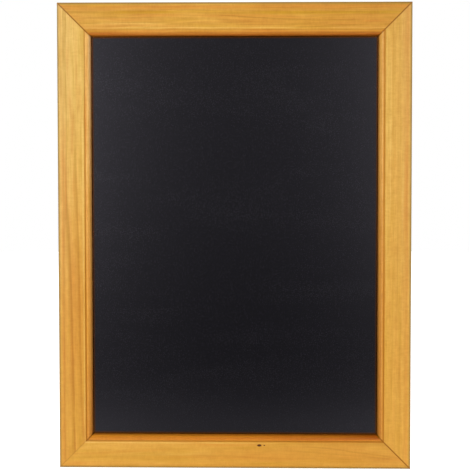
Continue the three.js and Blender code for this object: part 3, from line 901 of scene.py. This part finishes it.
def screw_tree():
    """A pan-head wood screw on the Y axis, the underside of its head at y = 0, with a cross recess."""
    tree, ins, out = geometry_tree("pan_head_screw", in_metres({
        "Head Radius": 3, "Head Height": 1.7, "Rim": 0.6, "Shank Radius": 1.4, "Length": 12, "Tip": 3,
        "Thread Depth": 0.4, "Thread Pitch": 1.4, "Recess Length": 3.4, "Recess Width": 0.7,
        "Recess Depth": 1}))
    shank, head, rim = ins["Shank Radius"], ins["Head Radius"], ins["Rim"]
    end = -ins["Length"]
    dome = ins["Head Height"] - rim
    shoulder = end + ins["Tip"]
    corners = [vector(0, end), vector(shank, shoulder), vector(shank), vector(head), vector(head, rim)]
    for number in range(1, DOME_STEPS + 1):
        rise = QUARTER * number / DOME_STEPS
        corners.append(vector(head * max(math.cos(rise), 0), rim + dome * math.sin(rise)))
    cuts = number_of(tree).math("LESS_THAN", 2) * THREAD_CUTS
    fine = corner_line(tree, corners).into("GeometryNodeSubdivideCurve", {"Cuts": cuts})
    thread = {size: ins[size] for size in ("Thread Depth", "Thread Pitch")}
    body = use_group(tree, TURNED, {
        "Profile": fine, "Sides": SCREW_SIDES, "Thread From": end + THREAD_RANGE[0],
        "Thread To": THREAD_RANGE[1], **thread})["Mesh"]
    size = vector(ins["Recess Length"], ins["Recess Depth"] * 2, ins["Recess Width"])
    x, y, z = parts(place_of(tree))
    narrow = ramp(y, -1 * MM, 1 * MM, 0.55, 1.25, "LINEAR")
    blade = reshaped(size.into("GeometryNodeMeshCube"), vector(x * narrow, y, z * narrow))
    lifted = moved(blade, by=vector(0, ins["Head Height"]))
    return finished_copies(ins, cut_away(body, lifted, moved(lifted, (0, QUARTER, 0))), out)


def bumper_tree():
    """A moulded rubber bumper on the Y axis, its base at y = 0, with a dimple in its face."""
    tree, ins, out = geometry_tree("wall_bumper", in_metres({
        "Radius": 6, "Face Radius": 5.7, "Height": 5, "Round": 1.9, "Dimple": 0.5, "Dimple Radius": 1.6,
        "Dimple Floor": 1.1, "Ease": 0.2}))
    top = ins["Height"]
    floor = top - ins["Dimple"]
    corners = [(0, 0, 0), vector(ins["Radius"]), vector(ins["Face Radius"], top),
               vector(ins["Dimple Radius"], top), vector(ins["Dimple Floor"], floor), vector(0, floor)]
    at_rim = number_of(tree).math("COMPARE", 2, 0.5)
    radius = at_rim * ins["Round"] + (1 - at_rim) * ins["Ease"]
    profile = bent(corner_line(tree, corners), radius, 7)
    body = use_group(tree, TURNED, {"Profile": profile, "Sides": BUMPER_SIDES})["Mesh"]
    return finished_copies(ins, body, out)


def ring_tree():
    """A D-ring bent from round wire: its bar on the X axis, the rest hanging towards -Z."""
    tree, ins, out = geometry_tree("hanger_ring", in_metres({
        "Wire Radius": RING_BAR_RADIUS, "Opening": 18, "Side": 3, "Corner": 2.4, "Seam": 0.4}))
    wire_radius = ins["Wire Radius"]
    half = ins["Opening"] / 2 + wire_radius
    corner = ins["Corner"] + wire_radius
    reach = -(corner + ins["Side"] + half)
    seam = ins["Seam"] / 2
    corners = [vector(seam), vector(half), vector(half, reach), vector(-half, reach), vector(-half),
               vector(-seam)]
    low = abs(number_of(tree) - 2.5).math("LESS_THAN", 1.0)
    wire = bent(corner_line(tree, corners), low * half + (1 - low) * corner, 14)
    circle = {"Resolution": WIRE_SIDES, "Radius": wire_radius}
    section = put(tree, "GeometryNodeCurvePrimitiveCircle", circle)
    return finished_copies(ins, moved(swept(wire, section), (QUARTER, 0, 0)), out)


# Where everything goes

def on_board(x, depth, z):
    """A place on the board: millimetres from its middle, and back from its face."""
    return MIDDLE + Vector((x, depth, z)) * MM


def outward(turn):
    """The direction from the middle of the board to a side at this turn about Y."""
    return Vector((math.sin(turn), 0, math.cos(turn)))


HALF_WIDTH, HALF_HEIGHT = WIDTH / 2 / MM, HEIGHT / 2 / MM
CORNERS = [(1, 1), (1, -1), (-1, -1), (-1, 1)]
nail_depth = MOULDING_DEPTH - NAIL_SINK
nail_places = [
    (on_board(sx * (HALF_WIDTH - inset), nail_depth, sz * (HALF_HEIGHT - inset)), math.atan2(sx, sz))
    for sx, sz in CORNERS for inset in NAIL_INSETS]
point_places = []
for name, (_, _, _, length, turn, reach) in SIDES.items():
    for share in POINT_SHARES["rail" if name.endswith("rail") else "stile"]:
        local = Vector((share * length / MM, POINT_FRONT, -REBATE))
        place = Matrix.Rotation(turn, 3, "Y") @ local + outward(turn) * reach / MM
        point_places.append((on_board(*place), turn))

ring_low, ring_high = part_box("left_ring")
pivot_z = ring_high.z - RING_BAR_RADIUS * MM
pivot_y = (ring_low.y + ring_high.y) / 2
HANGER_X = {"left": LEFT + HANGER_INSET * MM, "right": RIGHT - HANGER_INSET * MM}
screw_heights = [sum(c.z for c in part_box(f"left_screw_{place}")) / 2 for place in ("upper", "lower")]
screw_places = [(Vector((x, BACK + SCREW_SEAT * MM, z)), SCREW_TURN_STEP * i + FIRST_SCREW_TURN)
                for i, (x, z) in enumerate((x, z) for x in HANGER_X.values() for z in screw_heights)]


def round_cutter(builder, place, radius, depth, steps=24):
    """A round cutter along Y, from a little behind a place to a depth in millimetres before it."""
    middle = place + Vector((0, (CUT_PAST - depth) / 2, 0)) * MM
    matrix = Matrix.Translation(middle) @ Matrix.Rotation(QUARTER, 4, "X")
    bmesh.ops.create_cone(builder, cap_ends=True, segments=steps, radius1=radius * MM, radius2=radius * MM,
                          depth=(depth + CUT_PAST) * MM, matrix=matrix)


def slot_cutters(nail_tree):
    """Everything that is cut from the backs of the lengths of moulding: slots and pilot holes."""
    sink = NAIL_SINK + DRIVE_GAP + CUT_PAST
    raised = [(place + Vector((0, sink - DRIVE_GAP, 0)) * MM, turn) for place, turn in nail_places]
    extra = {"Thickness": 2 * DRIVE_GAP, "Curl": DRIVE_GAP, "Height": sink, "Bend": DRIVE_GAP}
    sizes = in_metres({name: NAIL[name] + more for name, more in extra.items()})
    cutter = grown("slot_cutters", seeds("nail_slots", raised), nail_tree, sizes)
    builder = bmesh.new()
    builder.from_mesh(cutter.data)
    for place, turn in point_places:
        middle = place + Matrix.Rotation(turn, 3, "Y") @ Vector(POINT_SLOT_MIDDLE) * MM
        size = Matrix.Diagonal((*(length * MM for length in POINT_SLOT), 1))
        matrix = Matrix.Translation(middle) @ Matrix.Rotation(turn, 4, "Y") @ size
        bmesh.ops.create_cube(builder, size=1, matrix=matrix)
    for place, _ in screw_places:
        round_cutter(builder, Vector((place.x, BACK, place.z)), PILOT_HOLE, PILOT_DEPTH)
    builder.to_mesh(cutter.data)
    builder.free()
    return cutter


def dress(piece, body, slot, *nodes):
    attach(piece, body)
    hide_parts(*nodes)


def make_frame(nail_tree):
    """The four lengths of moulding, each with its own pine."""
    tree = mitred_length_tree()
    cutters = slot_cutters(nail_tree)
    outline = [(-0.5, depth * MM, -width * MM) for width, depth in moulding_section()]
    for name, (corner, along, across, length, turn, reach) in SIDES.items():
        flat = bpy.data.meshes.new(name + "_section")
        flat.from_pydata(outline, [], [list(range(len(outline)))])
        piece = grown(name + "_moulding", flat, tree, {
            "Length": length, "Turn": turn, "Place": MIDDLE + outward(turn) * reach, "Slots": cutters,
            "Material": pine("pine_" + name, corner, along, across, length / MM, WOODS[name])})
        dress(piece, "frame", "pine", name)
    bpy.data.objects.remove(cutters)


# Steps of the strap's mesh, along its round foot, its straight, its eye and its width
FOOT_STEPS, STRAIGHT_STEPS, EYE_STEPS, STRAP_COLUMNS = 14, 8, 32, 12
FOOT_TIP = 0.35


def strap_stations():
    """Places along the middle of the sheet, from its foot: (y, z, normal y, normal z, half width)."""
    drop = (pivot_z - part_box("left_strap")[0].z) / MM
    half, halfway = STRAP_WIDTH / 2, STRAP_THICKNESS / 2
    stations = []
    for i in range(FOOT_STEPS + 1):
        turn = QUARTER * (1 - i / FOOT_STEPS)
        wide = max(half * math.cos(turn), FOOT_TIP)
        stations.append((halfway, half - drop - half * math.sin(turn), 1, 0, wide))
    for i in range(1, STRAIGHT_STEPS):
        stations.append((halfway, (half - drop) * (1 - i / STRAIGHT_STEPS), 1, 0, half))
    for i in range(EYE_STEPS + 1):
        turn = math.pi - (FULL_TURN - CURL_OPENING) * i / EYE_STEPS
        out_y, out_z = math.cos(turn), math.sin(turn)
        y = EYE_RADIUS + STRAP_THICKNESS + (EYE_RADIUS + halfway) * out_y
        stations.append((y, (EYE_RADIUS + halfway) * out_z, -out_y, -out_z, half))
    return stations


def strap_mesh(name):
    """A stamped strap hanging from z = 0, its back at y = 0: rolled eye at the top, round foot."""
    stations = strap_stations()
    columns = range(STRAP_COLUMNS)
    shares = [2 * j / STRAP_COLUMNS - 1 for j in range(STRAP_COLUMNS + 1)]
    builder = bmesh.new()
    back, front = (
        [[builder.verts.new(Vector((wide * share, y + side * out_y, z + side * out_z)) * MM)
          for share in shares] for y, z, out_y, out_z, wide in stations]
        for side in (-0.5 * STRAP_THICKNESS, 0.5 * STRAP_THICKNESS))
    for i in range(len(stations) - 1):
        for j in columns:
            builder.faces.new((back[i][j], back[i][j + 1], back[i + 1][j + 1], back[i + 1][j]))
            builder.faces.new((front[i][j], front[i + 1][j], front[i + 1][j + 1], front[i][j + 1]))
        for j in (0, STRAP_COLUMNS):
            builder.faces.new((back[i][j], back[i + 1][j], front[i + 1][j], front[i][j]))
    for i in (0, -1):
        for j in columns:
            builder.faces.new((back[i][j], back[i][j + 1], front[i][j + 1], front[i][j]))
    bmesh.ops.recalc_face_normals(builder, faces=builder.faces)
    return built_mesh(name, builder)


def make_strap(side):
    """One strap, with its screw holes cut and its edges eased."""
    name = side + "_hanger_strap"
    place = Vector((HANGER_X[side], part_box(f"{side}_strap")[0].y, pivot_z))
    mesh = strap_mesh(name)
    mesh.transform(Matrix.Translation(place))
    piece = mesh_object(name, mesh)
    builder = bmesh.new()
    for z in screw_heights:
        round_cutter(builder, Vector((place.x, place.y + 2 * MM, z)), SCREW_HOLE, depth=4, steps=32)
    cutter = mesh_object("screw_holes", built_mesh("screw_holes", builder))
    cut = piece.modifiers.new("holes", "BOOLEAN")
    cut.object = cutter
    cut.solver = "EXACT"
    ease = piece.modifiers.new("ease", "BEVEL")
    ease.width = STRAP_EASE * MM
    ease.segments = 2
    ease.angle_limit = math.radians(50)
    ease.harden_normals = True
    piece = plain_copy(piece, name, ZINC)
    bpy.data.objects.remove(cutter)
    piece.data.shade_smooth()
    piece.data.set_sharp_from_angle(angle=SHARP_ANGLE)
    return piece


def scatter(name, places, tree, material, body, slot, nodes):
    """A piece of shapes set on places, dressed for the nodes it stands for."""
    piece = grown(name, seeds(name + "_seeds", places), tree, {"Material": material})
    dress(piece, body, slot, *nodes)


nail_tree = v_nail_tree()
make_frame(nail_tree)
for name, places, tree, material, slot, word in (
        ("v_nails", nail_places, nail_tree, BLUED, "nail_steel", "v_nail_"),
        ("framing_points", point_places, framing_point_tree(), ZINC, "zinc_plate", "framing_point_"),
        ("hanger_screws", screw_places, screw_tree(), ZINC, "zinc_plate", "_screw_")):
    scatter(name, places, tree, material, "frame", slot, [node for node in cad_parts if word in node])
rings = ring_tree()
bumpers = bumper_tree()
for side, x in HANGER_X.items():
    dress(make_strap(side), "frame", "zinc_plate", f"{side}_strap")
    ring_places = [(Vector((x, pivot_y, pivot_z)), 0)]
    scatter(f"{side}_hanger_wire", ring_places, rings, NICKEL, f"{side}_hanger_ring", "ring_plate",
            [f"{side}_ring"])
    bumper_places = [(Vector((x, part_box(f"{side}_bumper")[0].y, FOOT + BUMPER_RISE * MM)), 0)]
    scatter(f"{side}_rubber_bumper", bumper_places, bumpers, RUBBER, "frame", "bumper_rubber",
            [f"{side}_bumper"])
for node, material in (("writing_surface", BLACKBOARD), ("core_board", HARDBOARD)):
    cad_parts[node].data.materials.clear()
    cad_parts[node].data.materials.append(material)


# Camera, floor and light

CAMERA_PLACE = (0.0734, -2.331, -0.0755)
# Yaw, pitch and roll in degrees, in the order that they are turned in
CAMERA_TURNS = {"Z": -1.8, "X": 3.52, "Y": -0.05}
camera = mesh_object("camera", bpy.data.cameras.new("camera"))
camera.data.sensor_width = 36
camera.data.lens = 137.9
view = Matrix.Translation(CAMERA_PLACE)
for axis, degrees in CAMERA_TURNS.items():
    view = view @ Matrix.Rotation(-math.radians(degrees), 4, axis)
camera.matrix_world = view @ Matrix.Rotation(QUARTER, 4, "X")
bpy.context.scene.camera = camera

FLOOR_RADIUS = 4
FLOOR_DROP = 0.4 * MM


def make_floor():
    """A wide pale floor that the board stands on. What the camera sees of it is lifted to white, and a
    card of light on it is mirrored in the foot of the board."""
    builder = bmesh.new()
    matrix = Matrix.Translation((0, 0, FOOT - FLOOR_DROP))
    bmesh.ops.create_circle(builder, cap_ends=True, radius=FLOOR_RADIUS, segments=96, matrix=matrix)
    floor = mesh_object("floor", built_mesh("floor", builder))
    material, tree = empty_material("pale_floor")
    place = own_place(tree)
    reach = place.into("ShaderNodeVectorMath", output="Value", operation="LENGTH")
    seen = put(tree, "ShaderNodeLightPath", output="Is Camera Ray")
    mirrored = put(tree, "ShaderNodeLightPath", output="Is Glossy Ray")
    x, y, _ = parts(place)
    # the card lies before the board, with soft edges and a dimmer middle
    card = ramp(y, -0.55, -0.4) * falling(y, -0.03, -0.02)
    card = card * falling(abs(x), 0.45, 0.7) * ramp(abs(x), 0.05, 0.32, 0.45, 0.90)
    lift = (seen * ramp(reach, 0.7, 1.5, 0.90, 1.0)).math("MAXIMUM", card)
    glow = put(tree, "ShaderNodeEmission", {"Color": WHITE, "Strength": lift})
    matt = put(tree, "ShaderNodeBsdfDiffuse", {"Color": (0.8, 0.8, 0.8, 1)})
    both = glow.into("ShaderNodeAddShader", {1: mirrored.into("ShaderNodeMixShader", {1: matt})})
    fill(tree.nodes.new("ShaderNodeOutputMaterial"), {"Surface": both})
    floor.data.materials.append(material)


def softbox(name, azimuth, elevation, distance, width, height, power):
    """A soft light that faces the middle of the board; azimuth 0 is in front, and right is positive."""
    light = bpy.data.lights.new(name, "AREA")
    light.shape = "RECTANGLE"
    light.size, light.size_y = width, height
    light.energy = power
    lamp = mesh_object(name, light)
    a, e = math.radians(azimuth), math.radians(elevation)
    offset = Vector((math.sin(a) * math.cos(e), -math.cos(a) * math.cos(e), math.sin(e))) * distance
    lamp.location = MIDDLE + offset
    lamp.rotation_euler = (-offset).to_track_quat("-Z", "Y").to_euler()


make_floor()
softbox("key_left", -26, 5.5, 2.7, 0.8, 1.9, 41)
softbox("key_right", 22, 5.5, 2.7, 0.8, 1.9, 28.5)
softbox("overhead", 0, 56, 2.5, 1.6, 1.0, 9.5)
softbox("back_left", 225, 30, 2.8, 2.6, 2.2, 32)
softbox("back_right", 135, 30, 2.8, 2.6, 2.2, 28)

# The world is white to the camera, and lights the board softly, more from behind than from the front
world = bpy.data.worlds.new("studio")
bpy.context.scene.world = world
world.use_nodes = True
sky = world.node_tree
sky.nodes.clear()
toward = parts(put(sky, "ShaderNodeTexCoord", output="Generated"))[1]
seen = put(sky, "ShaderNodeLightPath", output="Is Camera Ray")
strength = seen.math("MAXIMUM", ramp(toward, -0.1, 0.3, 0.03, 0.4))
background = put(sky, "ShaderNodeBackground", {"Color": WHITE, "Strength": strength})
fill(sky.nodes.new("ShaderNodeOutputWorld"), {"Surface": background})
bpy.context.scene.view_settings.view_transform = "Standard"
